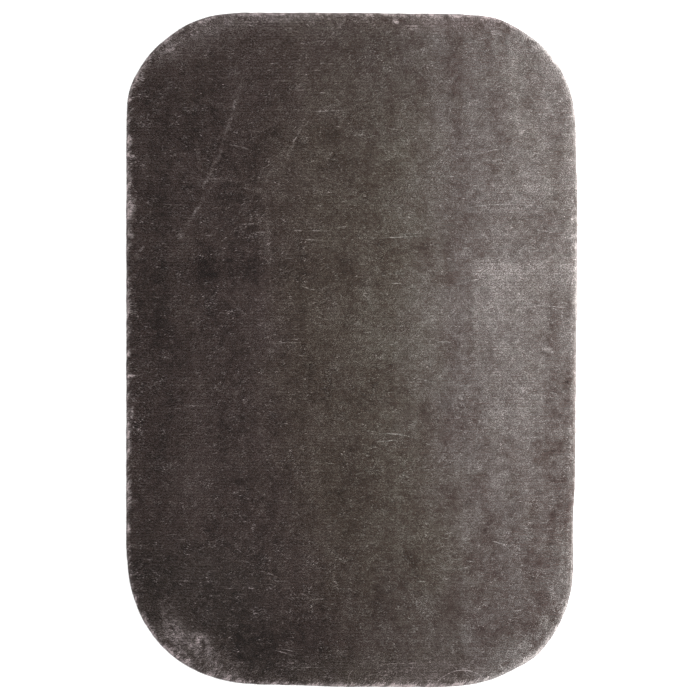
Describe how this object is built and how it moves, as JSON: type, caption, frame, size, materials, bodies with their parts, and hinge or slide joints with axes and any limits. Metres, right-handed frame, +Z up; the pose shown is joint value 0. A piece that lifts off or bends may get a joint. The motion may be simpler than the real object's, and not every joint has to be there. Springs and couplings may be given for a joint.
{
  "type": "bath mat",
  "caption": "Flat rounded-rectangle bath mat with a dense silky cut pile over a coated backing, a taped edge and a dotted non-slip underside.",
  "frame": {"origin": "middle of the mat's box, on the floor that the underside rests on", "axes": "+Z up through the pile, +Y along the long side, +X along the short side and the pile rows"},
  "size_m": [0.6, 0.9, 0.014],
  "materials": {
    "pile_yarn": "silky cut velour, warm grey",
    "backing_cloth": "plain woven polypropylene cloth",
    "latex": "matt skimmed latex",
    "grip_rubber": "matt sheet with raised grip dots",
    "binding_tape": "twill tape, dark warm grey",
    "sewing_thread": "polyester sewing thread",
    "label_satin": "blank woven satin",
    "label_thread": "polyester bar tack"
  },
  "bodies": {
    "root": {"pile": "pile_yarn", "primary_backing": "backing_cloth", "latex_coat": "latex", "grip_backing": "grip_rubber", "edge_tape": "binding_tape", "needle_thread": "sewing_thread", "bobbin_thread": "sewing_thread", "hem_thread": "sewing_thread", "care_label": "label_satin", "label_stitch_left": "label_thread", "label_stitch_right": "label_thread"}
  },
  "joints": []
}
